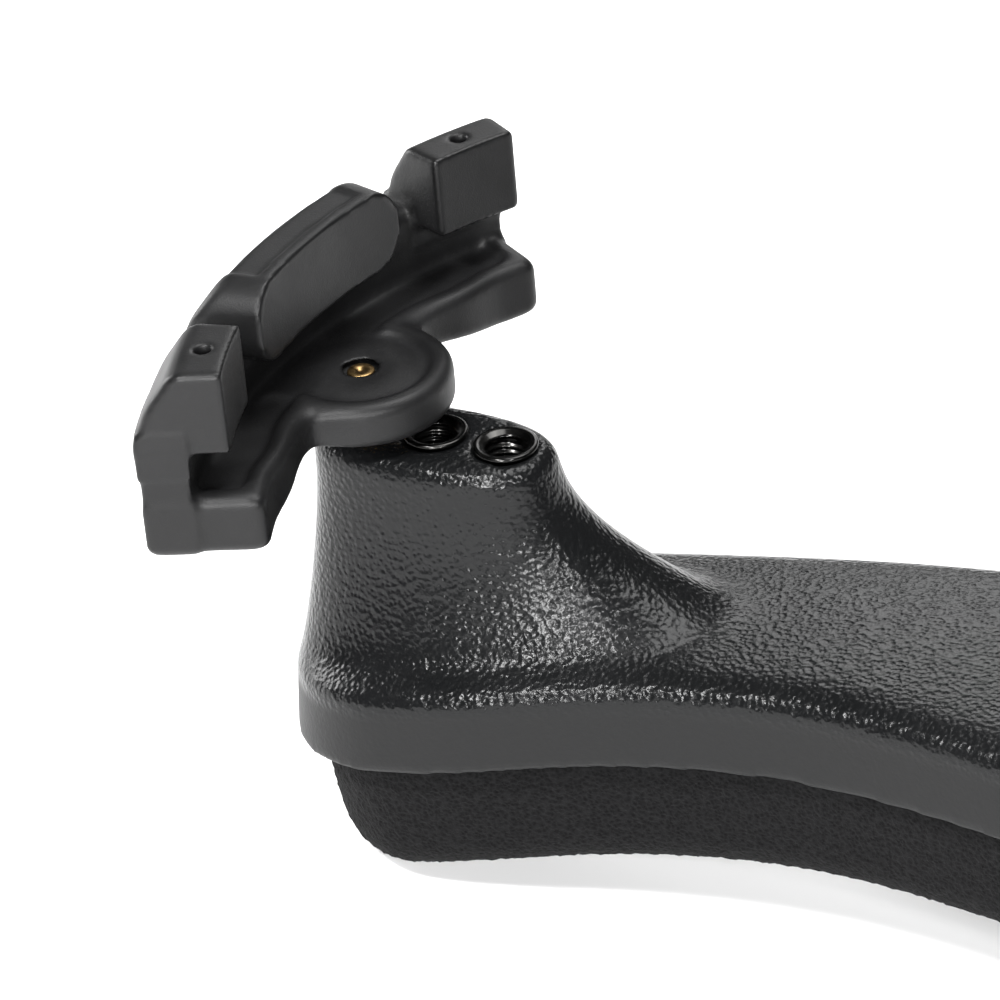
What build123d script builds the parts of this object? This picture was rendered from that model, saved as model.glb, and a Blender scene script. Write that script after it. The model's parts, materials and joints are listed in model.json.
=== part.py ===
"""Violin shoulder rest: a padded bridge with a swivelling, height-adjustable fork foot at each end.

Working frame: X along the rest, Y away from the player's chest side, Z up, x = 0 midway between
the feet, z = 0 at the top of the underside arch.  The parts are moved at the end so that the
origin is the middle of the bounding box's lowest face.  Millimetres.
"""
import os
from math import asin, cos, degrees, pi, radians, sin, sqrt

from build123d import *

# ---- cutting lengths ------------------------------------------------------------------------
REACH = 80.0               # longer than any piece is high
CLEAR = 5.0                # how far a cutter runs past what it cuts

# ---- bridge: plan outline -------------------------------------------------------------------
BODY_LENGTH = 222.0        # moulded bridge, tip to tip
END_RADIUS = 16.7          # rounded ends of the bridge in plan
SHOULDER_X = 76.0          # where the outline has left the tower ends
SHOULDER_NEAR = 13.2       # depth of the near edge there
WAIST_X = 50.0             # narrowest part of the outline, from the middle
WAIST_NEAR = 9.6
WAIST_FAR = 22.0
MIDDLE_NEAR = 15.0         # near edge at the middle
MIDDLE_FAR = 27.0          # far edge at the middle

# ---- bridge: section ------------------------------------------------------------------------
ARCH_RADIUS = 380.0        # underside arch, about an axis along Y
RIM_HEIGHT = 9.6           # bridge thickness at its edge
CROWN = 1.6                # extra thickness along the centre line
RIM_FILLET = 2.6           # rounded crease between rim and top
WALL = 2.6                 # moulded wall thickness

# ---- towers ---------------------------------------------------------------------------------
TOWER_X = 95.7             # middle hole of each tower, from the middle of the rest
TOWER_HEIGHT = 34.6        # rim underside to tower top at the middle hole
TOWER_TILT = 5.0           # outward slope of the tower top, degrees
TOWER_OUTER = 13.9         # middle hole to the outer wall
TOWER_INNER = 14.4         # middle hole to the inner end of the top
TOWER_HALF_WIDTH = 7.2
TOWER_FLARE = 7.6          # how far the foot of the tower spreads each side
TOWER_SWEEP = 56.0         # length of the concave sweep down to the bridge
TOWER_END_FLARE = 0.8
TOWER_SKEW = 7.0           # the sweep leans to the far side by this much
TOWER_FLARE_DEPTH = 26.0   # height over which the tower spreads
TOWER_TOP_FILLET = 2.2
TOWER_FOOT_DEPTH = 33.0    # how deep the tower runs into the bridge before it is trimmed
TOWER_ROOF = 15.0          # solid height under the tower top, round the inserts
TOWER_WALL = 4.0           # wall of the hollow tower below that
TOWER_LEVELS = (0.16, 0.36, 0.56, 0.74, 0.88, 1.0)   # loft sections, shares of the flare depth
TOWER_POINTS = 16          # points round each loft section
FLARE_POWER = 2.2          # how late the tower's flare opens
SQUARENESS = 0.82          # below 1, the tower's sides are straighter than an ellipse's
EGG_SHIFT = 0.35           # widest place of the tower's plan, towards its longer end
TOWER_BLANK = 4.0          # height lofted above the tower top before it is cut

# ---- threaded inserts -----------------------------------------------------------------------
HOLE_PITCH = 8.4
THREAD_BORE = 2.30         # modelled plain, between the minor and pitch radius of M5
INSERT_RADIUS = 3.2
INSERT_LENGTH = 12.0
INSERT_LIP_RADIUS = 3.6
INSERT_LIP = 0.5           # lip thickness, standing on the tower top
STEM_CLEARANCE = 0.05      # radial, stem in insert
WELL_RADIUS = 2.7          # clearance hole under each insert
WELL_DEPTH = 12.0          # how far it runs on below the tower's solid roof

# ---- underside ------------------------------------------------------------------------------
PLATE_THICKNESS = 2.2      # closing plate that carries the foam
PLATE_PROUD = 0.8          # how far it stands below the rim
PLATE_CLEARANCE = 0.15
ADHESIVE_THICKNESS = 0.3
FOAM_THICKNESS = 15.6      # rim underside to foam underside
FOAM_INSET = 3.3
FOAM_FILLET = 4.5
SCREW_ANGLES = (5.0, 10.5) # arch angles of the closing plate's screws, each side
SCREW_Y = 6.0
SCREW_RADIUS = 1.05
SCREW_LENGTH = 7.0
SCREW_HEAD_RADIUS = 2.1
SCREW_HEAD = 1.2
SCREW_SINK = 0.1           # heads below the plate's face
SCREW_CLEARANCE = 0.1      # screw in the closing plate
PILOT_CLEARANCE = 0.05     # screw in its boss
BOSS_RADIUS = 3.0

# ---- feet: fork -----------------------------------------------------------------------------
FOOT_YAW = -5.0            # swivel of the left foot at rest, degrees
FOOT_GAP = 2.0             # tower top to fork underside at rest
FORK_PLATE = 5.2           # thickness under the slot
FORK_SLOT = 5.2            # height of the slot that takes the violin's edge
GRIP_CENTRE = 58.0         # centre of the grip arcs, inward of the stem
GRIP_RADIUS = 62.0         # inner faces of the claws
CLAW_OVERHANG = 4.6        # depth of the slot
FORK_WALL = 5.2            # back wall thickness
FORK_HALF_ANGLE = 26.5     # half the fork's spread about the grip centre
END_CLAW_ANGLE = 9.5       # width of each end claw
CENTRE_CLAW_ANGLE = 12.8   # half width of the centre claw
CLAW_HEIGHT = 9.6          # claws above the slot
CLAW_TOP = 5.4             # width of the claws' flat tops
CLAW_SLOPE = 6.0           # height of the slope between top and back wall
WALL_RISE = 2.2            # low wall between the claws, above the slot
CENTRE_LOBE_RADIUS = 10.4  # middle lobe of the fork's front edge, round the stem
SIDE_LOBE_RADIUS = 11.0
SIDE_LOBE_BACK = 5.5       # centres of the side lobes, back from the stem
LOBE_SPACING = 21.0
PEEP_RADIUS = 1.75         # hole in the floor over the stem's end
PEEP_SKIN = 0.5            # rubber left over the clip's room, round that hole
CLAW_HOLE_RADIUS = 0.9     # moulding holes that end on the core
FORK_LIP = 3.0             # plate in front of the claws, between the lobes
RUBBER = 1.7               # rubber over the core

# ---- feet: stem -----------------------------------------------------------------------------
STEM_LENGTH = 19.0         # below the tower top at rest
FLANGE_RADIUS = 4.0
FLANGE_LIFT = 1.1          # flange above the tower top at rest
WASHER_THICKNESS = 0.9
WASHER_RADIUS = 4.1
AXIAL_PLAY = 0.06
PIN_RADIUS = 1.5
PIN_CLEARANCE = 0.05
PIN_TIP = 0.3              # pin above its groove
CLIP_RADIUS = 2.7
CLIP_THICKNESS = 0.5
CLIP_MOUTH = 1.6           # gap in the clip's ring
GROOVE_DEPTH = 0.3
CLIP_ROOM = 0.4            # clear space round and over the clip


# ---- bridge ---------------------------------------------------------------------------------
def outline(inset=0.0):
    """Plan face of the bridge, or of what lies inside it by the inset."""
    end, radius = BODY_LENGTH / 2 - END_RADIUS, END_RADIUS - inset
    near = [(SHOULDER_X, SHOULDER_NEAR), (WAIST_X, WAIST_NEAR)]
    near = [(-x, inset - y) for x, y in near] + [(0, inset - MIDDLE_NEAR)]
    far = [(WAIST_X, WAIST_FAR - inset), (0, MIDDLE_FAR - inset), (-WAIST_X, WAIST_FAR - inset)]
    mirrored = [(-x, y) for x, y in reversed(near[:2])]
    near_edge = Spline([(-end, -radius)] + near + mirrored + [(end, -radius)],
                       tangents=[(1, 0), (1, 0)])
    far_edge = Spline([(end, radius)] + far + [(-end, radius)], tangents=[(-1, 0), (-1, 0)])
    right_end = ThreePointArc((end, -radius), (end + radius, 0), (end, radius))
    left_end = ThreePointArc((-end, radius), (-end - radius, 0), (-end, -radius))
    return make_face(Curve() + [near_edge, right_end, far_edge, left_end])


def prism(inset=0.0):
    """Tall prism over the plan outline."""
    return extrude(Pos(0, 0, -REACH) * outline(inset), amount=2 * REACH)


def arch(low, high, crown=0.0):
    """Band between two heights over the arch, crowned across its top."""
    reach = MIDDLE_FAR + 4 * CLEAR
    axis = Axis((0, 0, -ARCH_RADIUS), (0, 1, 0))
    if crown:
        top = ThreePointArc((0, -reach, high - 2 * crown), (0, 0, high + crown),
                            (0, reach, high - 2 * crown))
    else:
        top = Line((0, -reach, high), (0, reach, high))
    bottom = Line(top @ 1, (0, reach, low)) + Line((0, reach, low), (0, -reach, low))
    face = make_face(Curve() + [top, bottom, Line((0, -reach, low), top @ 0)])
    spread = degrees(asin((BODY_LENGTH / 2 + CLEAR) / (ARCH_RADIUS - 4 * CLEAR)))
    return revolve(face.rotate(axis, -spread), axis, 2 * spread)


def arch_z(x, height=0.0):
    """Height of the arch at x, the given height above the rim underside."""
    return sqrt((ARCH_RADIUS + height) ** 2 - x * x) - ARCH_RADIUS


def tower_section(depth, inset=0.0):
    """Egg-shaped plan of the tower, the given depth below the middle of its top."""
    share = min(max(depth, 0) / TOWER_FLARE_DEPTH, 1)
    outer = TOWER_OUTER + TOWER_END_FLARE * share ** 3 - inset
    inner = TOWER_INNER + TOWER_SWEEP * share ** FLARE_POWER - inset
    half = TOWER_HALF_WIDTH + TOWER_FLARE * share ** FLARE_POWER - inset
    middle = (inner - outer) / 2 * EGG_SHIFT
    points = []
    for step in range(TOWER_POINTS):
        angle = 2 * pi * step / TOWER_POINTS
        inward = max(cos(angle), 0)
        reach = (inner - middle) if inward > 0 else (outer + middle)
        skew = TOWER_SKEW * inward * share ** 2
        points.append((middle + reach * round_power(cos(angle)),
                       half * round_power(sin(angle)) + skew))
    return Pos(0, 0, -depth) * make_face(Spline(points, periodic=True))


def round_power(value):
    """Squarer than an ellipse: the tower's plan has nearly straight sides."""
    return abs(value) ** SQUARENESS * (1 if value > 0 else -1)


def tower_loft(start, inset=0.0):
    """The tower from a depth below its top down into the bridge."""
    steps = [TOWER_FLARE_DEPTH * share for share in TOWER_LEVELS]
    depths = [start] + [d for d in steps if d > start + 2] + [TOWER_FOOT_DEPTH]
    return loft([tower_section(d, inset) for d in depths])


def tower_origin():
    """Middle hole's mouth on the left tower top."""
    return Vector(-TOWER_X, 0, arch_z(TOWER_X) + TOWER_HEIGHT)


def tower_top():
    """Frame on the left tower top: origin at the middle hole, X inward, Z out of the hole."""
    origin = tower_origin()
    tilt = radians(TOWER_TILT)
    return Plane(origin, x_dir=(cos(tilt), 0, sin(tilt)), z_dir=(-sin(tilt), 0, cos(tilt)))


def tower():
    """Solid left tower with its sloping top."""
    body = Pos(tower_origin()) * tower_loft(-TOWER_BLANK)
    body = body - tower_top() * Pos(0, 0, REACH / 2) * Box(REACH, REACH, REACH)
    top = body.faces().sort_by(Axis.Z)[-1]
    return fillet(top.edges(), TOWER_TOP_FILLET)


def both(left):
    """A piece of the left end together with its mirror image."""
    return [left, mirror(left, about=Plane.YZ)]


def on_arch(piece, angle):
    """Swing a piece built at the top of the arch to its place along the arch."""
    return piece.rotate(Axis((0, 0, -ARCH_RADIUS), (0, 1, 0)), angle)


def along_arch(piece):
    """Copies of a piece at every screw place."""
    angles = [side * angle for angle in SCREW_ANGLES for side in (-1, 1)]
    return [on_arch(piece, angle) for angle in angles]


def shell():
    """Moulded bridge: hollow from below, with solid tower heads and screw bosses."""
    slab = arch(0, RIM_HEIGHT, CROWN) & prism()
    above = arch(RIM_HEIGHT - 1.5 * WALL, TOWER_HEIGHT + 2 * CLEAR)
    top_edges = [e for e in slab.edges() if e.center().Z > arch_z(e.center().X, RIM_HEIGHT * 0.6)]
    slab = fillet(top_edges, RIM_FILLET)
    body = slab + both(tower() & prism() & above)
    core = Pos(tower_origin()) * tower_loft(TOWER_ROOF, TOWER_WALL)
    core = core & prism(TOWER_WALL) & above
    body = body - (arch(-1, RIM_HEIGHT - WALL, CROWN) & prism(WALL)) - both(core)
    floor = PLATE_THICKNESS - PLATE_PROUD + PLATE_CLEARANCE
    boss = Pos(0, SCREW_Y, floor) * upright(BOSS_RADIUS, RIM_HEIGHT - floor)
    pilot = Pos(0, SCREW_Y, floor - 1) * upright(SCREW_RADIUS + PILOT_CLEARANCE, SCREW_LENGTH)
    body = body + along_arch(boss) - along_arch(pilot)
    for cut in insert_cuts():
        body = body - both(cut)
    return body


def hole_frames():
    """Frames of the left tower's holes, from the outer one to the inner one."""
    return [tower_top() * Pos(step * HOLE_PITCH, 0, 0) for step in (-1, 0, 1)]


def insert_cuts():
    """Seat and clearance well of each insert in the left tower."""
    cuts = []
    for place in hole_frames():
        seat = Pos(0, 0, -INSERT_LENGTH) * upright(INSERT_RADIUS, INSERT_LENGTH + CLEAR)
        well = Pos(0, 0, -TOWER_ROOF - WELL_DEPTH) * upright(WELL_RADIUS, TOWER_ROOF + WELL_DEPTH)
        cuts.append(place * (seat + well))
    return cuts


def upright(radius, height):
    """Cylinder standing on z = 0."""
    return Cylinder(radius, height, align=(Align.CENTER, Align.CENTER, Align.MIN))


def insert():
    """Threaded insert with its lip, mouth at z = 0."""
    barrel = Pos(0, 0, -INSERT_LENGTH) * upright(INSERT_RADIUS, INSERT_LENGTH)
    barrel = barrel + upright(INSERT_LIP_RADIUS, INSERT_LIP)
    return barrel - Pos(0, 0, -INSERT_LENGTH - 1) * upright(THREAD_BORE, INSERT_LENGTH + CLEAR)


# ---- underside ------------------------------------------------------------------------------
def base_plate():
    """Plate that closes the bridge from below and carries the foam."""
    plate = arch(-PLATE_PROUD, PLATE_THICKNESS - PLATE_PROUD) & prism(WALL + PLATE_CLEARANCE)
    head = Pos(0, SCREW_Y, -PLATE_PROUD - 1) * upright(SCREW_HEAD_RADIUS + SCREW_CLEARANCE,
                                                       SCREW_HEAD + 1)
    hole = Pos(0, SCREW_Y, -PLATE_PROUD - 1) * upright(SCREW_RADIUS + SCREW_CLEARANCE, CLEAR)
    return plate - along_arch(head + hole)


def base_screws():
    """The closing plate's screws, heads sunk into the plate."""
    head = upright(SCREW_HEAD_RADIUS, SCREW_HEAD - SCREW_SINK)
    head = Pos(0, SCREW_Y, -PLATE_PROUD + SCREW_SINK) * head
    shank = Pos(0, SCREW_Y, 0) * upright(SCREW_RADIUS, SCREW_LENGTH - 1)
    return Compound(along_arch(head + shank))


def foam_adhesive():
    """Adhesive film between the closing plate and the foam."""
    return arch(-PLATE_PROUD - ADHESIVE_THICKNESS, -PLATE_PROUD) & prism(FOAM_INSET)


def foam_pad():
    """Foam that lies on the player's shoulder."""
    top = -PLATE_PROUD - ADHESIVE_THICKNESS
    pad = arch(-FOAM_THICKNESS, top) & prism(FOAM_INSET)
    low = [e for e in pad.edges() if e.center().Z < arch_z(e.center().X, -FOAM_THICKNESS * 0.6)]
    return fillet(low, FOAM_FILLET)


# ---- feet -----------------------------------------------------------------------------------
def polar(radius, angle):
    """Point at a radius and an angle (degrees) about the grip centre, in the foot's frame."""
    turn = radians(angle)
    return (GRIP_CENTRE - radius * cos(turn), radius * sin(turn))


def sector(low, high, start, stop):
    """Ring sector about the grip centre."""
    middle = (start + stop) / 2
    edges = [ThreePointArc(polar(high, start), polar(high, middle), polar(high, stop)),
             Line(polar(high, stop), polar(low, stop)),
             ThreePointArc(polar(low, stop), polar(low, middle), polar(low, start)),
             Line(polar(low, start), polar(high, start))]
    return make_face(Curve() + edges)


def raised(face, low, high):
    """Face extruded between two heights."""
    return extrude(Pos(0, 0, low) * face, amount=high - low)


def fork_levels():
    """Heights above the tower top: underside, floor, slot roof, low wall top, claw top."""
    floor = FOOT_GAP + FORK_PLATE
    roof = floor + FORK_SLOT
    return FOOT_GAP, floor, roof, roof + WALL_RISE, roof + CLAW_HEIGHT


def lobed(inset=0.0):
    """Plan of the fork's plate: three lobes in front, the grip arc behind."""
    back = GRIP_RADIUS + CLAW_OVERHANG + FORK_WALL - inset
    spread = FORK_HALF_ANGLE - degrees(inset / back)
    plan = sector(GRIP_RADIUS - FORK_LIP, back, -spread, spread)
    plan = plan + Circle(CENTRE_LOBE_RADIUS - inset)
    for side in (-1, 1):
        plan = plan + Pos(-SIDE_LOBE_BACK, side * LOBE_SPACING) * Circle(SIDE_LOBE_RADIUS - inset)
    return plan & sector(GRIP_RADIUS / 3, back, -spread, spread)


def claw_angles(inset=0.0):
    """Start and stop angles of the three claws."""
    trim = degrees(inset / GRIP_RADIUS)
    spans = [(-CENTRE_CLAW_ANGLE, CENTRE_CLAW_ANGLE)]
    for side in (-1, 1):
        pair = sorted((side * FORK_HALF_ANGLE, side * (FORK_HALF_ANGLE - END_CLAW_ANGLE)))
        spans.append(tuple(pair))
    return [(start + trim, stop - trim) for start, stop in spans]


def claw(start, stop, inset=0.0):
    """One claw, or the core's tongue in it: a sloped profile swept about the grip centre."""
    roof, top = fork_levels()[2], fork_levels()[4]
    back = GRIP_RADIUS + CLAW_OVERHANG + FORK_WALL - inset
    front, crest = GRIP_RADIUS + inset, GRIP_RADIUS + CLAW_TOP - inset
    profile = [(front, roof + inset), (back, roof + inset), (back, top - CLAW_SLOPE),
               (crest, top - inset), (front, top - inset)]
    points = [(GRIP_CENTRE - r, 0, h) for r, h in profile]
    axis = Axis((GRIP_CENTRE, 0, 0), (0, 0, 1))
    face = make_face(Polyline(*points, close=True))
    return revolve(face.rotate(axis, -stop), axis, stop - start)


def fork_blank():
    """Outer shape of the rubber-covered fork."""
    under, floor, _, low_wall, _ = fork_levels()
    back = GRIP_RADIUS + CLAW_OVERHANG + FORK_WALL
    spread = FORK_HALF_ANGLE
    wall = sector(GRIP_RADIUS + CLAW_OVERHANG, back, -spread, spread)
    blank = raised(lobed(), under, floor) + raised(wall, under, low_wall)
    for start, stop in claw_angles():
        blank = blank + claw(start, stop)
    return blank


def fork_core():
    """Rigid frame inside the rubber: plate, back wall and a tongue in each claw."""
    under, floor, roof, _, _ = fork_levels()
    back = GRIP_RADIUS + CLAW_OVERHANG + FORK_WALL - RUBBER
    wall_in = GRIP_RADIUS + CLAW_OVERHANG + RUBBER
    spread = FORK_HALF_ANGLE - degrees(RUBBER / back)
    core = raised(lobed(RUBBER), under + RUBBER, floor - RUBBER)
    core = core + raised(sector(wall_in, back, -spread, spread), under + RUBBER, roof)
    for start, stop in claw_angles(RUBBER):
        core = core + claw(start, stop, RUBBER)
        core = core + raised(sector(wall_in, back, start, stop), roof - 1, roof + RUBBER + 1)
    return core - upright(PIN_RADIUS + PIN_CLEARANCE, REACH)


def fork_cover():
    """Rubber over the core, open underneath for the stem's flange and washer."""
    under, floor, _, _, top = fork_levels()
    cover = fork_blank() - fork_core()
    cover = cover - Pos(0, 0, under - 1) * upright(WASHER_RADIUS + CLIP_ROOM, RUBBER + 1)
    cover = cover - Pos(0, 0, floor - RUBBER) * upright(CLIP_RADIUS + CLIP_ROOM, RUBBER - PEEP_SKIN)
    cover = cover - upright(PEEP_RADIUS, REACH)
    for side in (-1, 1):
        angle = side * (FORK_HALF_ANGLE - END_CLAW_ANGLE / 2)
        x, y = polar(GRIP_RADIUS + CLAW_TOP / 2, angle)
        cover = cover - Pos(x, y, top - RUBBER) * upright(CLAW_HOLE_RADIUS, CLEAR)
    return cover


def stem():
    """Threaded stem (plain in the model) with its flange and the pin that carries the fork."""
    under, floor = fork_levels()[:2]
    flange_top = under + RUBBER - WASHER_THICKNESS - AXIAL_PLAY
    pin_top = floor - RUBBER + CLIP_THICKNESS + 2 * AXIAL_PLAY + PIN_TIP
    thread = Pos(0, 0, -STEM_LENGTH) * upright(THREAD_BORE - STEM_CLEARANCE,
                                               STEM_LENGTH + FLANGE_LIFT)
    flange = Pos(0, 0, FLANGE_LIFT) * upright(FLANGE_RADIUS, flange_top - FLANGE_LIFT)
    pin = upright(PIN_RADIUS, pin_top)
    groove = Pos(0, 0, clip_height()) * upright(PIN_RADIUS + 1, CLIP_THICKNESS)
    groove = groove - upright(PIN_RADIUS - GROOVE_DEPTH, REACH)
    return thread + flange + pin - groove


def clip_height():
    """Underside of the retaining clip, just above the core."""
    return FOOT_GAP + FORK_PLATE - RUBBER + AXIAL_PLAY


def retaining_clip():
    """Open ring in the pin's groove."""
    ring = upright(CLIP_RADIUS, CLIP_THICKNESS) - upright(PIN_RADIUS - GROOVE_DEPTH, CLIP_THICKNESS)
    mouth = Pos(CLIP_RADIUS, 0, 0) * Box(2 * CLIP_RADIUS, CLIP_MOUTH, CLEAR)
    return Pos(0, 0, clip_height()) * (ring - mouth)


def thrust_washer():
    """Washer between the stem's flange and the core."""
    low = FOOT_GAP + RUBBER - WASHER_THICKNESS
    ring = upright(WASHER_RADIUS, WASHER_THICKNESS - AXIAL_PLAY / 2)
    return Pos(0, 0, low) * (ring - upright(PIN_RADIUS + PIN_CLEARANCE, WASHER_THICKNESS))


def foot_frame():
    """Frame of the left foot: origin on the tower top at the outer hole, X towards the grip."""
    return tower_top() * Pos(-HOLE_PITCH, 0, 0) * Rot(0, 0, FOOT_YAW)


# ---- assembly -------------------------------------------------------------------------------
def build():
    """All nodes by name, in the working frame."""
    nodes = {
        "bridge_shell": shell(),
        "closing_plate": base_plate(),
        "plate_screws": base_screws(),
        "foam_adhesive": foam_adhesive(),
        "foam_pad": foam_pad(),
    }
    paired = {}
    for name, place in zip(("outer", "middle", "inner"), hole_frames()):
        paired[f"{name}_insert"] = place * insert()
    foot = {
        "fork_cover": fork_cover(),
        "fork_core": fork_core(),
        "stem_screw": stem(),
        "thrust_washer": thrust_washer(),
        "retaining_clip": retaining_clip(),
    }
    for name, piece in foot.items():
        paired[name] = foot_frame() * piece
    for name, piece in paired.items():
        nodes[f"left_{name}"] = piece
        nodes[f"right_{name}"] = mirror(piece, about=Plane.YZ)
    return nodes


def origin_shift(nodes):
    """Move that puts the origin in the middle of the bounding box's lowest face."""
    box = Compound([solid for piece in nodes.values() for solid in piece.solids()]).bounding_box()
    centre = box.center()
    return Pos(-centre.X, -centre.Y, -box.min.Z)


if __name__ == "__main__":
    os.makedirs("parts", exist_ok=True)
    nodes = build()
    shift = origin_shift(nodes)
    for name, piece in nodes.items():
        solids = [shift * solid for solid in piece.solids()]
        export_step(solids[0] if len(solids) == 1 else Compound(solids), f"parts/{name}.step")
    print("origin shift", [round(v, 4) for v in shift.position])
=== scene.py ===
"""Looks of the violin shoulder rest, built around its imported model.  Lengths are in metres unless
a name says mm; the fork is worked out in millimetres in its own frame and placed at the end."""
import json
import math

import bmesh
import bpy
import numpy as np
from mathutils import Matrix, Vector


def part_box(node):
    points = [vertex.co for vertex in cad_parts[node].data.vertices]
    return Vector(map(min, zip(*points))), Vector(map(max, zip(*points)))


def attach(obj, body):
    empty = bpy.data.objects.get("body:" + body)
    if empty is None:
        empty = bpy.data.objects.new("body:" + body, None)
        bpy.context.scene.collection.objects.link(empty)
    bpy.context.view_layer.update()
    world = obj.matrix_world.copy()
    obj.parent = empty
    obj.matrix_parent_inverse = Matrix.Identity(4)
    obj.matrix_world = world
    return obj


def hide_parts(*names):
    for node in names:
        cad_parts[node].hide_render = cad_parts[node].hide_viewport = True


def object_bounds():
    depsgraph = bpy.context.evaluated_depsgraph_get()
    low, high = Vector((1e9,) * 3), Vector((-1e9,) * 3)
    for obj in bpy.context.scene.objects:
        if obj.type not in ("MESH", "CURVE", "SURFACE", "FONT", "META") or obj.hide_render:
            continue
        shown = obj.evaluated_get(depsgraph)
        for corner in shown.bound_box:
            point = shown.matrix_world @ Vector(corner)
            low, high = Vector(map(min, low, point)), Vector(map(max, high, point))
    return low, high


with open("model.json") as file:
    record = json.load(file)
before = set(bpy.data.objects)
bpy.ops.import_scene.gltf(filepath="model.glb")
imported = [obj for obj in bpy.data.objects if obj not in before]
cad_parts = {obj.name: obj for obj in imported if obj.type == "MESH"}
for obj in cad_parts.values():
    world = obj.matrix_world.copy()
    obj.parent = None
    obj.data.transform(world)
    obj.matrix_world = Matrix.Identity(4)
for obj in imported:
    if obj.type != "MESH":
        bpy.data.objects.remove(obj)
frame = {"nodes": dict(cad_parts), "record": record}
CAD_LOW, CAD_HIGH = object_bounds()

MM = 0.001
COARSER = 1
SIDES = ("left", "right")
HOLES = ("outer", "middle", "inner")

# ---- camera ---------------------------------------------------------------------------------
VIEW_AZIMUTH = math.radians(26.0)
VIEW_ELEVATION = math.radians(33.5)
VIEW_DISTANCE = 0.550
LENS_MM = 184.14
SENSOR_MM = 36.0
AIM_RIGHT = 6.94 * MM          # from the left tower's middle hole to the picture's middle
AIM_DOWN = 7.15 * MM

# ---- lights ---------------------------------------------------------------------------------
LIGHT_TARGET = (-0.075, 0, 0.035)
SUN_POWER, SUN_ANGLE = 3.4, math.radians(40)
SUN_TURN = (math.radians(-12), math.radians(8), 0)
WORLD_POWER = 0.10
# name, place from the target, size and power in watts
LIGHTS = (("back", (-0.22, 0.62, 0.34), 0.30, 1.2), ("front", (0.10, -0.68, 0.28), 0.09, 6.0),
          ("right", (0.42, -0.50, 0.42), 0.09, 3.6), ("high", (-0.14, -0.46, 0.62), 0.08, 6.0),
          ("side", (-0.62, 0.10, 0.12), 0.26, 2.4))

# ---- bridge ---------------------------------------------------------------------------------
BRIDGE_VOXEL = 0.60 * MM * COARSER
FOAM_VOXEL = 0.62 * MM * COARSER
WELD_DISTANCE = 0.02 * MM
FLANK_HEIGHT = (8.6, 12.0)     # mm over the rim's underside where the tower's flank is smoothed
FLANK_BELOW_TOP = (3.0, 7.0)   # mm under the tower's top where that starts
FLANK_ROUNDS = 40
RIM_SPAN = (6.6, 8.8)          # mm, where the plain rim turns into the grained top
FOAM_DEPTH = (2.0, 15.0)       # mm under the rim over which the foam's shape changes
FOAM_SKIN = (1.6, 2.6)         # mm under the rim where its rough skin starts
FOAM_ENDS = (84, 106)          # mm from the middle
FOAM_SLANT = 2.4 * MM          # the foam's ends lean in towards the bottom
FOAM_TAPER = 0.035             # and its sides, as a share of the depth
FOAM_ROUGH = 0.055 * MM
FOAM_SEED = 7
ARCH = 380.0 * MM              # underside arch
PLATE_PROUD = 0.8 * MM         # closing plate below the rim
CENTRE_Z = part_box("foam_adhesive")[1].z + PLATE_PROUD - ARCH

# ---- threads --------------------------------------------------------------------------------
SEGMENTS = 48
THREAD_PITCH = 0.8
THREAD_DEPTH = 0.34
RINGS_PER_TURN = 8
RIDGE_GAIN, RIDGE_CUT = 1.25, 0.12     # flatten the thread's crests and roots
LIP_RADIUS = 3.6
BARREL_RADIUS = 3.2
BORE_RADIUS = 2.30
BORE_CREST = 0.16              # the thread's crests stand this far into the bore
BARREL_LENGTH = 12.0
STEM_RADIUS = 2.25
STEM_LOW, STEM_HIGH = -18.6, 0.9
STEM_TIP = ((0.9, -19.0), (1.6, -19.0))
# radius and height over the tower: neck, flange, pin, groove for the clip, domed end
STEM_UPPER = ((1.95, 0.95), (1.95, 1.1), (3.8, 1.1), (4.0, 1.25), (4.0, 2.6), (3.85, 2.74),
              (1.5, 2.74), (1.5, 5.5), (1.2, 5.52), (1.2, 6.08), (1.5, 6.1), (1.5, 6.3),
              (1.38, 6.42), (0.5, 6.42), (0.35, 6.2))

# ---- fork, millimetres in the foot's frame --------------------------------------------------
FOOT_YAW = math.radians(-5.0)
UNDER, FLOOR, ROOF, LOW_WALL, TOP = 2.0, 7.2, 12.4, 14.6, 22.0
GRIP_CENTRE, GRIP_RADIUS = 58.0, 62.0
SLOT_DEPTH, BACK_WALL = 4.6, 5.2
BACK_RADIUS = GRIP_RADIUS + SLOT_DEPTH + BACK_WALL
PLATE_LIP = 3.0                # plate in front of the claws' faces
FORK_ANGLE = 27.9
SKIRT_DROP = 1.7               # the fork's ends hang lower than its middle
SKIRT_SPAN = (12.0, 27.0)
END_CLAW_ANGLE = 9.9
CENTRE_CLAW_ANGLE = 12.8
CENTRE_CLAW_CORNER, END_CLAW_CORNER = 4.2, 0.7
CLAW_CREST = 5.4
CLAW_SLOPE = 6.0
CLAW_ROOT_RAISE, CLAW_ROOT_HALF = -1, 2.5      # the block that ties a claw to the back wall
RUBBER = 1.7
CENTRE_LOBE, SIDE_LOBE = 10.0, 11.0
SIDE_LOBE_BACK, LOBE_SPACING = 8.3, 21.0
LOBE_BLEND, PLAN_BLEND = 6.5, 1.5
PLATE_EDGE, WALL_EDGE = 1.5, 1.4
DISH_MARGIN, DISH_DEPTH, DISH_RISE = 2.6, 0.9, 0.65        # the floor is sunk inside a border
DISH_SPAN = (3.5, 7.5)         # from the stem's axis, where the dish deepens
STEM_ROOM, FLOOR_HOLE = 4.5, 1.75
CLIP_ROOM, CLIP_MIDDLE, CLIP_HALF = 3.1, 5.9, 0.6
MOULD_HOLE, MOULD_HOLE_DEPTH = 0.9, 3
PANEL_HALF, PANEL_DEPTH, PANEL_SETBACK, PANEL_FOOT = 9.5, 0.35, 1.6, 2     # on the middle claw
CORE_GAP = 0.05
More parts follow.
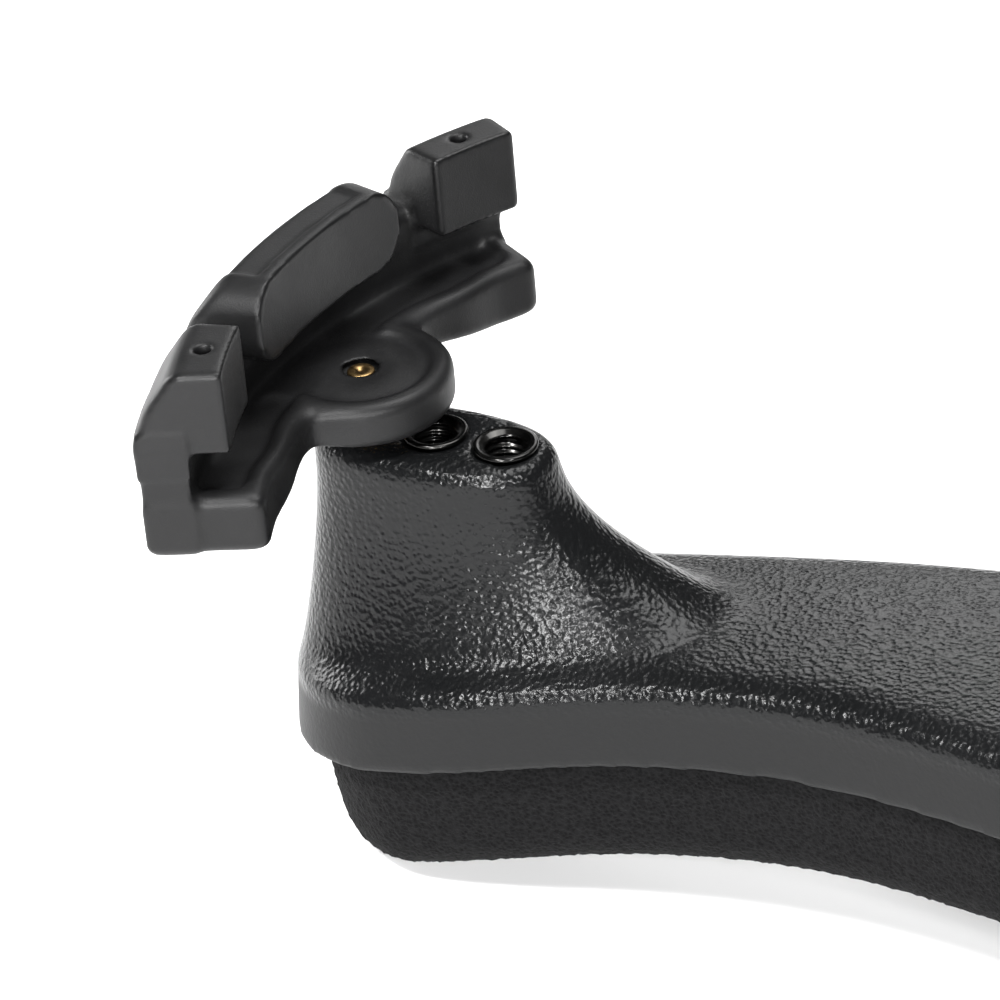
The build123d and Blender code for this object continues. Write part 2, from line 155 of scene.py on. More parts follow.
PIN_HOLE = 1.55
FORK_BOX = ((-17.0, -35.5, -0.6), (13.0, 35.5, 24.0))      # where its fields are sampled
FORK_STEP = 0.38 * COARSER
CORE_STEP = 0.55 * COARSER


# ---- small helpers --------------------------------------------------------------------------
def new_object(name, mesh):
    """Object for a mesh, linked to the scene."""
    piece = bpy.data.objects.new(name, mesh)
    bpy.context.scene.collection.objects.link(piece)
    return piece


def mesh_from(name, vertices, faces):
    """Mesh object from vertices and faces, shaded smooth."""
    mesh = bpy.data.meshes.new(name)
    mesh.from_pydata([tuple(v) for v in vertices], [], [tuple(f) for f in faces])
    mesh.validate()
    mesh.update()
    mesh.polygons.foreach_set("use_smooth", [True] * len(mesh.polygons))
    return new_object(name, mesh)


def coordinates(mesh):
    """The mesh's vertices as an array."""
    flat = np.zeros(len(mesh.vertices) * 3)
    mesh.vertices.foreach_get("co", flat)
    return flat.reshape(-1, 3)


def set_coordinates(mesh, points):
    """Moves the mesh's vertices."""
    mesh.vertices.foreach_set("co", np.asarray(points, float).ravel())
    mesh.update()


def edge_array(mesh):
    """The mesh's edges as an array of vertex pairs."""
    flat = np.zeros(len(mesh.edges) * 2, dtype=np.int64)
    mesh.edges.foreach_get("vertices", flat)
    return flat.reshape(-1, 2)


def relax(points, edges, rounds, strength):
    """Moves each point towards the mean of its neighbours; strength is one number or one each."""
    count = np.bincount(edges.ravel(), minlength=len(points))[:, None]
    strength = np.asarray(strength, float).reshape(-1, 1)
    for _ in range(rounds):
        total = np.zeros_like(points)
        for axis in range(3):
            total[:, axis] = np.bincount(edges[:, 0], points[edges[:, 1], axis], len(points))
            total[:, axis] += np.bincount(edges[:, 1], points[edges[:, 0], axis], len(points))
        points = points + strength * (total / np.maximum(count, 1) - points)
    return points


def apply_modifier(piece, name, kind, **settings):
    """Adds a modifier and applies it."""
    modifier = piece.modifiers.new(name, kind)
    for key, value in settings.items():
        setattr(modifier, key, value)
    bpy.context.view_layer.objects.active = piece
    bpy.ops.object.modifier_apply(modifier=name)


def unbend(points):
    """Straightens the arch: length along it, depth, and height over the rim's underside."""
    x, z = points[:, 0], points[:, 2] - CENTRE_Z
    radius = np.hypot(x, z)
    return np.stack([np.arctan2(x, z) * ARCH, points[:, 1], radius - ARCH], 1)


def bend(points):
    """Puts straightened points back on the arch."""
    turn, radius = points[:, 0] / ARCH, points[:, 2] + ARCH
    return np.stack([radius * np.sin(turn), points[:, 1], radius * np.cos(turn) + CENTRE_Z], 1)


def remeshed(node, name, voxel):
    """A closed, even mesh of a CAD node, straightened along the arch."""
    piece = new_object(name, frame["nodes"][node].data.copy())
    piece.data.materials.clear()
    apply_modifier(piece, "weld", "WELD", merge_threshold=WELD_DISTANCE)
    set_coordinates(piece.data, unbend(coordinates(piece.data)))
    apply_modifier(piece, "even", "REMESH", mode="VOXEL", voxel_size=voxel, use_smooth_shade=True)
    return piece


def step_up(value, low, high):
    """Smooth rise from 0 to 1 between low and high."""
    share = np.clip((value - low) / (high - low), 0, 1)
    return share * share * (3 - 2 * share)


def paint(mesh, name, values):
    """Stores one number a vertex."""
    attribute = mesh.attributes.new(name, "FLOAT", "POINT")
    attribute.data.foreach_set("value", np.asarray(values, np.float32))


# ---- frames ---------------------------------------------------------------------------------
def mount(name):
    """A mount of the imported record: its place and axis."""
    for entry in frame["record"]["mounts"]:
        if entry["name"] == name:
            return Vector(entry["pos_m"]), Vector(entry["axis"])
    raise ValueError(name)


def stem_place(side):
    """Mouth of the tower's outer hole, on the stem's axis."""
    for joint in frame["record"]["behaviour"]["joints"]:
        if joint["name"] == f"{side}_swivel":
            return Vector(joint["pos_m"])
    raise ValueError(side)


def hole_matrix(side, hole):
    """Frame of a tower hole: origin at its mouth, Z out of it."""
    outer = stem_place(side)
    inner, axis = mount(f"{side}_inner_thread")
    along = (inner - outer).normalized()
    place = outer.lerp(inner, HOLES.index(hole) / 2)
    across = axis.cross(along)
    matrix = Matrix((along, across, axis)).transposed().to_4x4()
    matrix.translation = place
    return matrix


def foot_matrix():
    """Frame of the left foot, origin on the tower top, X towards the grip."""
    return hole_matrix("left", "outer") @ Matrix.Rotation(FOOT_YAW, 4, "Z")


MIRROR = Matrix.Scale(-1, 4, Vector((1, 0, 0)))


# ---- implicit surfaces ----------------------------------------------------------------------
def join_soft(a, b, radius):
    """Union of two distance fields with a rounded inner corner."""
    share = np.clip(0.5 + 0.5 * (b - a) / radius, 0, 1)
    return b + (a - b) * share - radius * share * (1 - share)


def meet_soft(a, b, radius):
    """Intersection of two distance fields with a rounded outer corner."""
    return -join_soft(-a, -b, radius)


def surface_net(field, low, step):
    """Closed quad mesh of the field's zero level (vertices, faces)."""
    shape = tuple(n - 1 for n in field.shape)
    total = np.zeros(shape + (3,))
    count = np.zeros(shape)
    for axis in range(3):
        others = [k for k in range(3) if k != axis]
        for first in (0, 1):
            for second in (0, 1):
                start = [0, 0, 0]
                start[others[0]], start[others[1]] = first, second
                stop = list(start)
                stop[axis] = 1
                a = field[tuple(slice(s, s + n) for s, n in zip(start, shape))]
                b = field[tuple(slice(s, s + n) for s, n in zip(stop, shape))]
                cross = (a < 0) != (b < 0)
                share = np.where(cross, a / np.where(cross, a - b, 1), 0)
                count += cross
                for k in range(3):
                    total[..., k] += cross * (start[k] + (share if k == axis else 0))
    cells = np.argwhere(count > 0)
    index = -np.ones(shape, dtype=np.int64)
    index[tuple(cells.T)] = np.arange(len(cells))
    inner = total[tuple(cells.T)] / count[tuple(cells.T)][:, None]
    vertices = (cells + inner) * step + np.asarray(low)
    faces = []
    for axis in range(3):
        others = [k for k in range(3) if k != axis]
        a = np.moveaxis(field, axis, 0)[:-1]
        b = np.moveaxis(field, axis, 0)[1:]
        cross = (a < 0) != (b < 0)
        cross[:, 0, :] = cross[:, -1, :] = cross[:, :, 0] = cross[:, :, -1] = False
        spots = np.argwhere(cross)
        up = (a < 0)[tuple(spots.T)]
        corners = []
        for d1, d2 in ((-1, -1), (0, -1), (0, 0), (-1, 0)):
            cell = np.zeros((len(spots), 3), dtype=np.int64)
            cell[:, axis] = spots[:, 0]
            cell[:, others[0]] = spots[:, 1] + d1
            cell[:, others[1]] = spots[:, 2] + d2
            corners.append(index[tuple(cell.T)])
        quad = np.stack(corners, 1)
        flip = up if axis != 1 else ~up
        quad[~flip] = quad[~flip][:, ::-1]
        faces.append(quad)
    return vertices, np.concatenate(faces)


# ---- fork cover -----------------------------------------------------------------------------
def fork_outer(u, w, h):
    """Distance field of the fork's outside, without holes."""
    radius = np.hypot(GRIP_CENTRE - u, w)
    arc = np.arctan2(w, GRIP_CENTRE - u) * GRIP_RADIUS
    ends = np.abs(arc) - math.radians(FORK_ANGLE) * GRIP_RADIUS
    under = UNDER - SKIRT_DROP * step_up(np.abs(arc), *SKIRT_SPAN)
    plan = np.hypot(u, w) - CENTRE_LOBE
    for side in (-1, 1):
        lobe = np.hypot(u + SIDE_LOBE_BACK, w - side * LOBE_SPACING) - SIDE_LOBE
        plan = join_soft(plan, lobe, LOBE_BLEND)
    front = GRIP_RADIUS - PLATE_LIP
    band = np.abs(radius - (front + BACK_RADIUS) / 2) - (BACK_RADIUS - front) / 2
    plan = join_soft(plan, band, PLAN_BLEND)
    plan = meet_soft(plan, np.maximum(radius - BACK_RADIUS, ends), PLAN_BLEND)
    plate = rounded_slab(plan, h, under, FLOOR, PLATE_EDGE)
    level = FLOOR - DISH_DEPTH + DISH_RISE * (1 - step_up(np.hypot(u, w), *DISH_SPAN))
    dish = np.maximum(plan + DISH_MARGIN, level - h)
    plate = meet_soft(plate, -dish, 1.0)
    wall_plan = np.abs(radius - (BACK_RADIUS - BACK_WALL / 2)) - BACK_WALL / 2
    wall = rounded_slab(np.maximum(wall_plan, ends), h, under, LOW_WALL, WALL_EDGE)
    shape = join_soft(plate, wall, 1.2)
    for middle, half, corner in claw_list():
        shape = join_soft(shape, claw_field(radius, arc, h, middle, half, corner), 0.9)
    return shape


def claw_list():
    """Middle, half length and end rounding of each claw, along the grip arc."""
    per_degree = math.radians(1) * GRIP_RADIUS
    end_half = END_CLAW_ANGLE / 2 * per_degree
    end_middle = FORK_ANGLE * per_degree - end_half
    return [(0.0, CENTRE_CLAW_ANGLE * per_degree, CENTRE_CLAW_CORNER),
            (-end_middle, end_half, END_CLAW_CORNER), (end_middle, end_half, END_CLAW_CORNER)]


def rounded_slab(plan, h, low, high, edge):
    """A plan's field made into a slab with rounded edges."""
    side = plan + edge
    level = np.abs(h - (low + high) / 2) - (high - low) / 2 + edge
    outside = np.hypot(np.maximum(side, 0), np.maximum(level, 0))
    return outside + np.minimum(np.maximum(side, level), 0) - edge


def crest_slope(radius, h):
    """Distance over the plane that runs from the back up to the crest."""
    run = BACK_RADIUS - GRIP_RADIUS - CLAW_CREST
    length = math.hypot(run, CLAW_SLOPE)
    return ((radius - BACK_RADIUS) * CLAW_SLOPE + (h - (TOP - CLAW_SLOPE)) * run) / length


def claw_field(radius, arc, h, middle, half, corner):
    """One claw: rounded in face view, with its back sloping up to a flat crest."""
    low, high = ROOF, TOP
    across = np.abs(arc - middle) - half + corner
    up = np.abs(h - (low + high) / 2) - (high - low) / 2 + corner
    face = np.hypot(np.maximum(across, 0), np.maximum(up, 0))
    face = face + np.minimum(np.maximum(across, up), 0) - corner
    behind = radius - BACK_RADIUS
    back = meet_soft(behind, crest_slope(radius, h), 2.0)
    claw = meet_soft(face, back, 1.2)
    claw = meet_soft(claw, GRIP_RADIUS - radius, 0.25)
    root_level = (LOW_WALL + ROOF) / 2 + CLAW_ROOT_RAISE
    root = np.maximum(np.abs(arc - middle) - half, np.abs(h - root_level) - CLAW_ROOT_HALF)
    root = np.maximum(root, np.maximum(behind, BACK_RADIUS - BACK_WALL - radius))
    return join_soft(claw, root, 0.8)


def fork_field(u, w, h):
    """The rubber cover: outside, less the core's room, the stem's room and the holes."""
    outer = fork_outer(u, w, h)
    stem = np.hypot(u, w)
    cover = np.maximum(outer, -(outer + RUBBER))
    cover = np.maximum(cover, -np.maximum(stem - STEM_ROOM, h - UNDER - RUBBER))
    clip = np.maximum(stem - CLIP_ROOM, np.abs(h - CLIP_MIDDLE) - CLIP_HALF)
    cover = np.maximum(cover, -clip)
    cover = meet_soft(cover, FLOOR_HOLE - stem, 0.5)
    radius = np.hypot(GRIP_CENTRE - u, w)
    arc = np.arctan2(w, GRIP_CENTRE - u) * GRIP_RADIUS
    for middle, _, _ in claw_list()[1:]:
        turn = middle / GRIP_RADIUS
        reach = GRIP_RADIUS + CLAW_CREST / 2
        off_axis = np.hypot(u - GRIP_CENTRE + reach * math.cos(turn), w - reach * math.sin(turn))
        hole = np.maximum(off_axis - MOULD_HOLE, TOP - MOULD_HOLE_DEPTH - h)
        cover = meet_soft(cover, -hole, 0.3)
    return np.maximum(cover, -panel_field(radius, arc, h))


def panel_field(radius, arc, h):
    """Shallow plain panel on the middle claw's crest and slope."""
    depth = np.maximum(crest_slope(radius, h), h - TOP) + PANEL_DEPTH
    inside = np.maximum(np.abs(arc) - PANEL_HALF, GRIP_RADIUS + PANEL_SETBACK - radius)
    return np.maximum(inside, np.maximum(-depth, ROOF + PANEL_FOOT - h))


def core_field(u, w, h):
    """The rigid frame that fills the cover, with its hole for the stem's pin."""
    return np.maximum(fork_outer(u, w, h) + RUBBER + CORE_GAP, PIN_HOLE - np.hypot(u, w))


def fork_mesh(name, field, step):
    """A piece of the left fork, in the scene's frame."""
    low, high = FORK_BOX
    axes = [np.arange(a, b + step, step) for a, b in zip(low, high)]
    u, w, h = np.meshgrid(*axes, indexing="ij")
    vertices, faces = surface_net(field(u, w, h), low, step)
    piece = mesh_from(name, vertices, faces)
    set_coordinates(piece.data, relax(coordinates(piece.data), edge_array(piece.data), 1, 0.5))
    piece.data.transform(foot_matrix() @ Matrix.Scale(MM, 4))
    return piece


def mirrored_copy(piece, name):
    """The same mesh for the other end."""
    mesh = piece.data.copy()
    mesh.transform(MIRROR)
    mesh.flip_normals()
    return new_object(name, mesh)


# ---- threads --------------------------------------------------------------------------------
def ring_angles():
    """Angles of a ring's points."""
    return np.linspace(0, 2 * math.pi, SEGMENTS, endpoint=False)


def thread_tube(least_radius, low, high):
    """Rings of a cylinder whose wall carries a screw thread."""
    rings = int((high - low) / THREAD_PITCH * RINGS_PER_TURN)
    heights = np.linspace(low, high, rings + 1)
    grid_h, grid_a = np.meshgrid(heights, ring_angles(), indexing="ij")
    phase = (grid_h / THREAD_PITCH - grid_a / (2 * math.pi)) % 1.0
    ridge = 1 - np.abs(2 * phase - 1)
    ridge = np.clip(ridge * RIDGE_GAIN - RIDGE_CUT, 0, 1)
    fade = step_up(high - grid_h, 0, THREAD_PITCH) * step_up(grid_h - low, 0, THREAD_PITCH)
    radius = least_radius + THREAD_DEPTH * ridge * fade
    return np.stack([radius * np.cos(grid_a), radius * np.sin(grid_a), grid_h], -1)


def ring_of(radius, height):
    """One flat ring of points."""
    turn = ring_angles()
    return np.stack([radius * np.cos(turn), radius * np.sin(turn), np.full(SEGMENTS, height)], -1)


def lathe(name, rows, closed):
    """Mesh from rows of ring points; closed joins the last row to the first."""
    rows = np.array(rows)
    count = len(rows)
    faces = []
    for i in range(count if closed else count - 1):
        here, there = i * SEGMENTS, (i + 1) % count * SEGMENTS
        for k in range(SEGMENTS):
            m = (k + 1) % SEGMENTS
            faces.append((here + k, here + m, there + m, there + k))
    if not closed:
        faces.append(tuple(range(SEGMENTS))[::-1])
        faces.append(tuple((count - 1) * SEGMENTS + k for k in range(SEGMENTS)))
    piece = mesh_from(name, rows.reshape(-1, 3), faces)
    outward(piece.data)
    return piece


def outward(mesh):
    """Turns every face outwards."""
    work = bmesh.new()
    work.from_mesh(mesh)
    bmesh.ops.recalc_face_normals(work, faces=work.faces)
    work.to_mesh(mesh)
    work.free()


def insert_mesh(side, hole):
    """Threaded insert with its rounded lip."""
    bore = thread_tube(BORE_RADIUS - BORE_CREST, -BARREL_LENGTH, 0.0)
    rows = [ring_of(BARREL_RADIUS, -BARREL_LENGTH)] + list(bore)
    lip = [(BORE_RADIUS + 0.15, 0.1), (BORE_RADIUS + 0.45, 0.38), (BORE_RADIUS + 0.8, 0.5),
           (LIP_RADIUS - 0.22, 0.5), (LIP_RADIUS - 0.05, 0.4), (LIP_RADIUS, 0.2),
           (LIP_RADIUS, 0.0), (BARREL_RADIUS, 0.0)]
    rows += [ring_of(r, z) for r, z in lip]
    piece = lathe(f"{side}_{hole}_insert_turned", rows[::-1], closed=True)
    piece.data.transform(hole_matrix(side, hole) @ Matrix.Scale(MM, 4))
    return piece


def stem_mesh(side):
    """Stem screw: threaded shank, flange and the grooved pin that carries the fork."""
    rows = [ring_of(r, z) for r, z in STEM_TIP]
    rows += list(thread_tube(STEM_RADIUS - THREAD_DEPTH, STEM_LOW, STEM_HIGH))
    rows += [ring_of(r, z) for r, z in STEM_UPPER]
    piece = lathe(f"{side}_stem_turned", rows, closed=False)
    piece.data.transform(hole_matrix(side, "outer") @ Matrix.Scale(MM, 4))
    return piece


# ---- bridge and foam ------------------------------------------------------------------------
def vertex_normals(mesh):
    """The mesh's vertex normals as an array."""
    return np.array([v.vector[:] for v in mesh.vertex_normals])


def paint_edges(mesh):
    """Marks convex edges, where handling polishes the surface."""
    points, edges = coordinates(mesh), edge_array(mesh)
    inner = relax(points, edges, 6, 0.6)
    bulge = np.einsum("ij,ij->i", points - inner, vertex_normals(mesh)) / MM
    paint(mesh, "edge", step_up(bulge, 0.02, 0.16))


def bridge_moulding():
    """The grained bridge: the towers flow into it without a crease."""
    piece = remeshed("bridge_shell", "bridge_moulding", BRIDGE_VOXEL)
    straight, edges = coordinates(piece.data), edge_array(piece.data)
    tower = hole_matrix("left", "middle")
    folded = bend(straight)
    folded[:, 0] = -np.abs(folded[:, 0])
    below = (np.array(tower.translation) - folded) @ np.array(tower.col[2][:3]) / MM
    flank = step_up(straight[:, 2] / MM, *FLANK_HEIGHT) * step_up(below, *FLANK_BELOW_TOP)
    points = relax(bend(straight), edges, 3, 0.5)
    points = relax(points, edges, FLANK_ROUNDS, 0.6 * flank)
    set_coordinates(piece.data, points)
    paint(piece.data, "rim", 1 - step_up(straight[:, 2] / MM, *RIM_SPAN))
    paint_edges(piece.data)
    return piece


def foam_cushion():
    """The foam pad: slanted ends, rounded lower corners and an open-cell skin."""
    piece = remeshed("foam_pad", "foam_cushion", FOAM_VOXEL)
    straight = coordinates(piece.data)
    depth = step_up(-straight[:, 2] / MM, *FOAM_DEPTH)
    skin = step_up(-straight[:, 2] / MM, *FOAM_SKIN)
    points = bend(straight)
    ends = step_up(np.abs(points[:, 0]) / MM, *FOAM_ENDS)
    middle = 0.5 * (points[:, 1].min() + points[:, 1].max())
    points[:, 0] -= np.sign(points[:, 0]) * FOAM_SLANT * depth * ends
    points[:, 1] -= (points[:, 1] - middle) * FOAM_TAPER * depth
    points = relax(points, edge_array(piece.data), 2, 0.5)
    rough = np.random.default_rng(FOAM_SEED).normal(0, FOAM_ROUGH, len(points))
    set_coordinates(piece.data, points)
    set_coordinates(piece.data, points + vertex_normals(piece.data) * (rough * skin)[:, None])
    return piece


# ---- materials ------------------------------------------------------------------------------
class Nodes:
    """Short way to build a material's nodes."""

    def __init__(self, name):
        self.material = bpy.data.materials.new(name)
        self.material.use_nodes = True
        self.tree = self.material.node_tree
        self.shader = self.tree.nodes["Principled BSDF"]
        self.place = self.add("ShaderNodeTexCoord").outputs["Object"]

    def add(self, kind, **settings):
        node = self.tree.nodes.new(kind)
        for key, value in settings.items():
            setattr(node, key, value)
        return node

    def link(self, source, target):
        self.tree.links.new(source, target)

    def noise(self, scale, detail=4.0, roughness=0.55, distortion=0.0):
        node = self.add("ShaderNodeTexNoise")
        node.inputs["Scale"].default_value = scale
        node.inputs["Detail"].default_value = detail
        node.inputs["Roughness"].default_value = roughness
        node.inputs["Distortion"].default_value = distortion
        self.link(self.place, node.inputs["Vector"])
        return node.outputs["Fac"]

    def cells(self, scale, smooth=0.35, warp=0.0):
        node = self.add("ShaderNodeTexVoronoi", feature="SMOOTH_F1")
        node.inputs["Scale"].default_value = scale
        node.inputs["Smoothness"].default_value = smooth
        vector = self.place
        if warp:
            shift = self.add("ShaderNodeTexNoise")
            shift.inputs["Scale"].default_value = scale * 0.6
            self.link(self.place, shift.inputs["Vector"])
            mix = self.add("ShaderNodeMix", data_type="VECTOR")
            mix.inputs[0].default_value = warp
            self.link(self.place, mix.inputs[4])
            offset = self.add("ShaderNodeVectorMath", operation="MULTIPLY_ADD")
            offset.inputs[1].default_value = (1 / scale,) * 3
            self.link(shift.outputs["Color"], offset.inputs[0])
            self.link(self.place, offset.inputs[2])
            self.link(offset.outputs[0], mix.inputs[5])
            vector = mix.outputs[1]
        self.link(vector, node.inputs["Vector"])
        return node.outputs["Distance"]

    def spread(self, value, low, high, out_low, out_high):
        node = self.add("ShaderNodeMapRange")
        for key, number in (("From Min", low), ("From Max", high), ("To Min", out_low),
                            ("To Max", out_high)):
            node.inputs[key].default_value = number
        self.link(value, node.inputs["Value"])
        return node.outputs["Result"]

    def math(self, operation, a, b):
        node = self.add("ShaderNodeMath", operation=operation)
        for slot, value in zip(node.inputs, (a, b)):
            if isinstance(value, (int, float)):
                slot.default_value = value
            else:
                self.link(value, slot)
        return node.outputs[0]

    def blend(self, factor, a, b):
        node = self.add("ShaderNodeMix", data_type="RGBA")
        self.link(factor, node.inputs[0])
        for slot, value in ((node.inputs[6], a), (node.inputs[7], b)):
            if isinstance(value, tuple):
                slot.default_value = (*value, 1)
            else:
                self.link(value, slot)
        return node.outputs[2]

    def mottle(self, value, dark, light, low=0.3, high=0.7):
        return self.blend(self.spread(value, low, high, 0, 1), dark, light)

    def attribute(self, name):
        return self.add("ShaderNodeAttribute", attribute_name=name).outputs["Fac"]

    def bump(self, height, distance, strength=1.0, below=None):
        node = self.add("ShaderNodeBump")
        node.inputs["Strength"].default_value = strength
        node.inputs["Distance"].default_value = distance
        self.link(height, node.inputs["Height"])
        if below is not None:
            self.link(below, node.inputs["Normal"])
        self.link(node.outputs["Normal"], self.shader.inputs["Normal"])
        return node.outputs["Normal"]

    def set(self, **values):
        for key, value in values.items():
            socket = self.shader.inputs[key.replace("_", " ")]
            if isinstance(value, tuple):
                socket.default_value = (*value, 1)
            elif isinstance(value, (int, float)):
                socket.default_value = value
            else:
                self.link(value, socket)


def grained_plastic():
    """Moulded black plastic with a leather-like grain, finer and duller on the rim."""
    nodes = Nodes("grained_plastic")
    rim = nodes.attribute("rim")
    grain = nodes.cells(1650, smooth=0.7, warp=0.7)
    fine = nodes.noise(4200, detail=3)
    coarse = nodes.spread(grain, 0.0, 0.75, 0.0, 1.0)
    quiet = nodes.math("SUBTRACT", 1.0, nodes.math("MULTIPLY", rim, 0.82))
    height = nodes.math("MULTIPLY", coarse, quiet)
    height = nodes.math("ADD", height, nodes.math("MULTIPLY", fine, 0.28))
    patches = nodes.noise(60, detail=5)
    tone = nodes.mottle(patches, (0.0030, 0.0032, 0.0034), (0.0048, 0.0050, 0.0053))
    tone = nodes.blend(nodes.math("MULTIPLY", rim, 0.8), tone, (0.0050, 0.0051, 0.0053))
    gloss = nodes.spread(patches, 0.3, 0.7, 0.20, 0.27)
    rough = nodes.math("ADD", gloss, nodes.math("MULTIPLY", rim, 0.24))
    nodes.set(Base_Color=tone, Roughness=rough, IOR=1.5, Specular_IOR_Level=0.20)
    nodes.bump(height, 0.00010, 0.9)
    return nodes.material


def smooth_plastic():
    """Smooth black plastic with faint handling marks."""
    nodes = Nodes("smooth_plastic")
    marks = nodes.noise(700, detail=6, distortion=1.2)
    tone = nodes.mottle(marks, (0.004, 0.004, 0.0044), (0.007, 0.007, 0.0075), low=0.35)
    nodes.set(Base_Color=tone, Specular_IOR_Level=0.4,
              Roughness=nodes.spread(marks, 0.3, 0.7, 0.16, 0.28))
    nodes.bump(marks, 0.00002, 0.5)
    return nodes.material


def cellular_foam():
    """Fine-cell black foam: soft pits, with painted shade darkening the pits so their walls read
    lighter.
    """
    nodes = Nodes("cellular_foam")
    pits = nodes.cells(1900, smooth=0.15, warp=0.8)
    crumbs = nodes.noise(3800, detail=5, roughness=0.7)
    mix = nodes.math("ADD", nodes.math("MULTIPLY", pits, 0.8), nodes.math("MULTIPLY", crumbs, 0.8))
    # tone follows the pits' depth: painted shade in the foam's cells, with random crumb tone on top
    tone = nodes.mottle(mix, (0.0012, 0.0012, 0.0013), (0.0068, 0.0068, 0.0071), 0.45, 1.0)
    nodes.set(Base_Color=tone, Roughness=0.95, Specular_IOR_Level=0.08, Sheen_Weight=0.02,
              Sheen_Roughness=0.5)
    nodes.bump(mix, 0.00022, 0.9)
    return nodes.material


def moulded_rubber():
    """Matte black rubber, darker and glossier where edges have been handled."""
    nodes = Nodes("moulded_rubber")
    edge = nodes.attribute("edge")
    speckle = nodes.noise(5200, detail=2, roughness=0.6)
    cloud = nodes.noise(140, detail=5)
    tone = nodes.mottle(cloud, (0.0045, 0.0045, 0.0047), (0.0070, 0.0070, 0.0073))
    tone = nodes.blend(nodes.math("MULTIPLY", edge, 0.6), tone, (0.0028, 0.0028, 0.0030))
    rough = nodes.spread(cloud, 0.3, 0.7, 0.42, 0.52)
    rough = nodes.math("SUBTRACT", rough, nodes.math("MULTIPLY", edge, 0.14))
    nodes.set(Base_Color=tone, Roughness=rough, Specular_IOR_Level=0.24)
    height = nodes.math("ADD", speckle, nodes.math("MULTIPLY", nodes.noise(900, detail=3), 0.8))
    nodes.bump(height, 0.00003, 0.8)
    return nodes.material


def metal(name, dark, light, roughness):
    """Turned or plated metal with fine tool marks."""
    nodes = Nodes(name)
    marks = nodes.noise(900, detail=6, distortion=0.6)
    tone = nodes.mottle(marks, dark, light)
    nodes.set(Base_Color=tone, Metallic=1.0,
              Roughness=nodes.spread(marks, 0.3, 0.7, roughness * 0.8, roughness * 1.25))
    nodes.bump(marks, 0.00001, 0.4)
    return nodes.material


def dull_plastic(name, dark, light, roughness):
    """Unpolished plastic with mottled tone."""
    nodes = Nodes(name)
    cloud = nodes.noise(500, detail=5)
    tone = nodes.mottle(cloud, dark, light)
    nodes.set(Base_Color=tone,
              Roughness=nodes.spread(cloud, 0.3, 0.7, roughness - 0.06, roughness + 0.06))
    nodes.bump(nodes.noise(2600, detail=3), 0.00003, 0.5)
    return nodes.material


def floor_material():
    """Pale paper backdrop."""
    nodes = Nodes("pale_floor")
    cloud = nodes.noise(3, detail=3)
    tone = nodes.mottle(cloud, (0.90, 0.90, 0.90), (0.93, 0.93, 0.93))
    nodes.set(Base_Color=tone, Roughness=0.85)
    return nodes.material


# ---- stage ----------------------------------------------------------------------------------
def studio():
    """Pale floor, soft lights and a white surround."""
    bpy.ops.mesh.primitive_plane_add(size=12, location=(0, 0, CAD_LOW.z - 0.0002))
    floor = bpy.context.active_object
    floor.name = "studio_floor"
    floor.data.materials.append(floor_material())
    world = bpy.data.worlds.new("studio")
    world.use_nodes = True
    backdrop = world.node_tree.nodes["Background"]
    backdrop.inputs["Color"].default_value = (1, 1, 1, 1)
    backdrop.inputs["Strength"].default_value = WORLD_POWER
    bpy.context.scene.world = world
    sun = bpy.data.lights.new("overhead", "SUN")
    sun.energy = SUN_POWER
    sun.angle = SUN_ANGLE
    overhead = bpy.data.objects.new("overhead", sun)
    overhead.rotation_euler = SUN_TURN
    bpy.context.scene.collection.objects.link(overhead)
    target = Vector(LIGHT_TARGET)
    for name, place, size, power in LIGHTS:
        lamp = bpy.data.lights.new(name, "AREA")
        lamp.shape = "SQUARE"
        lamp.size = size
        lamp.energy = power
        light = bpy.data.objects.new(name, lamp)
        light.location = target + Vector(place)
        light.rotation_euler = (target - light.location).to_track_quat("-Z", "Y").to_euler()
        bpy.context.scene.collection.objects.link(light)


def camera():
    """Camera at the view's angle, aimed just beside the left tower."""
    sa, ca = math.sin(VIEW_AZIMUTH), math.cos(VIEW_AZIMUTH)
    se, ce = math.sin(VIEW_ELEVATION), math.cos(VIEW_ELEVATION)
    back = Vector((sa * ce, -ca * ce, se))
    right = Vector((ca, sa, 0))
    up = back.cross(right)
    hole = hole_matrix("left", "middle").translation
    aim = hole + right * AIM_RIGHT - up * AIM_DOWN
    lens = bpy.data.cameras.new("camera")
    lens.lens = LENS_MM
    lens.sensor_width = SENSOR_MM
    lens.clip_start = 0.01
    lens.clip_end = 50
    view = bpy.data.objects.new("camera", lens)
    view.matrix_world = Matrix((right, up, back)).transposed().to_4x4()
    view.location = aim + back * VIEW_DISTANCE
    bpy.context.scene.collection.objects.link(view)
    bpy.context.scene.camera = view


# ---- assembly -------------------------------------------------------------------------------
def finish_piece(piece, body, slot, material, *nodes):
    """Material and body of a piece, and the CAD nodes it stands for; the slot argument is not used.
    """
    piece.data.materials.clear()
    piece.data.materials.append(material)
    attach(piece, body)
    if nodes:
        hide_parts(*nodes)


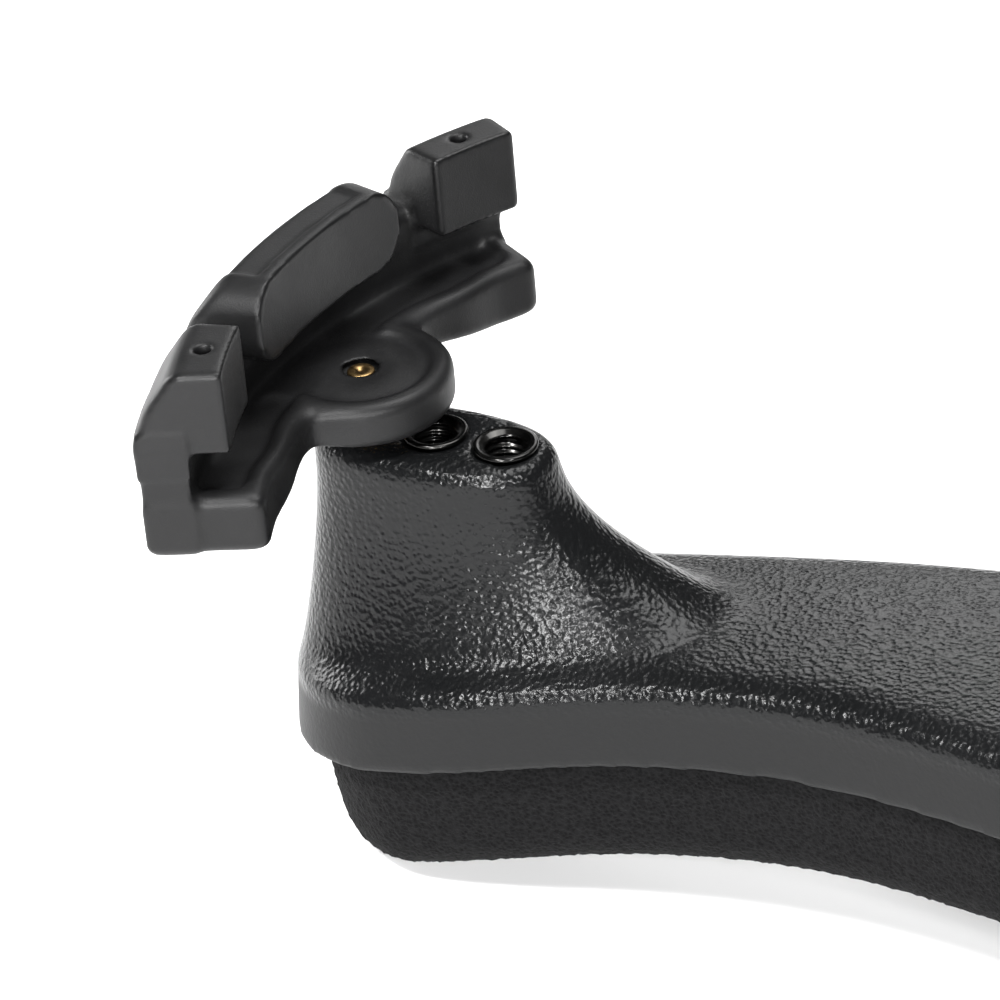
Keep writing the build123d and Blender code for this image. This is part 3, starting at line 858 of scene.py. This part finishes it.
def dress(node, material):
    """A better material on a CAD node that keeps its shape."""
    piece = frame["nodes"][node]
    if not piece.material_slots:
        piece.data.materials.append(material)
    for holder in piece.material_slots:
        holder.material = material


camera()
studio()

rubber = moulded_rubber()
plated = metal("black_plated_brass", (0.016, 0.016, 0.016), (0.045, 0.044, 0.042), 0.22)
brass = metal("turned_brass", (0.16, 0.10, 0.04), (0.30, 0.20, 0.09), 0.34)
steel = metal("zinc_steel", (0.30, 0.30, 0.31), (0.46, 0.46, 0.47), 0.3)
spring = metal("phosphated_spring_steel", (0.05, 0.05, 0.05), (0.10, 0.10, 0.10), 0.4)
nylon = dull_plastic("natural_nylon", (0.55, 0.54, 0.48), (0.66, 0.65, 0.58), 0.5)
core = dull_plastic("filled_nylon", (0.03, 0.03, 0.03), (0.05, 0.05, 0.05), 0.55)
film = dull_plastic("adhesive_film", (0.006, 0.006, 0.006), (0.012, 0.012, 0.012), 0.35)

finish_piece(bridge_moulding(), "root", "bridge_plastic", grained_plastic(), "bridge_shell")
pad = foam_cushion()
finish_piece(pad, "root", "foam", cellular_foam(), "foam_pad")
dress("closing_plate", smooth_plastic())
dress("plate_screws", steel)
dress("foam_adhesive", film)

covers = {"left": fork_mesh("left_fork_rubber", fork_field, FORK_STEP)}
paint_edges(covers["left"].data)
covers["right"] = mirrored_copy(covers["left"], "right_fork_rubber")
cores = {"left": fork_mesh("left_fork_frame", core_field, CORE_STEP)}
cores["right"] = mirrored_copy(cores["left"], "right_fork_frame")
for side in SIDES:
    finish_piece(covers[side], f"{side}_foot", "fork_rubber", rubber, f"{side}_fork_cover")
    finish_piece(cores[side], f"{side}_foot", "core_plastic", core, f"{side}_fork_core")
    finish_piece(stem_mesh(side), f"{side}_stem", "stem_brass", brass, f"{side}_stem_screw")
    for hole in HOLES:
        finish_piece(insert_mesh(side, hole), "root", "insert_metal", plated,
                     f"{side}_{hole}_insert")
    dress(f"{side}_thrust_washer", nylon)
    dress(f"{side}_retaining_clip", spring)

bpy.context.scene.view_settings.view_transform = "Standard"
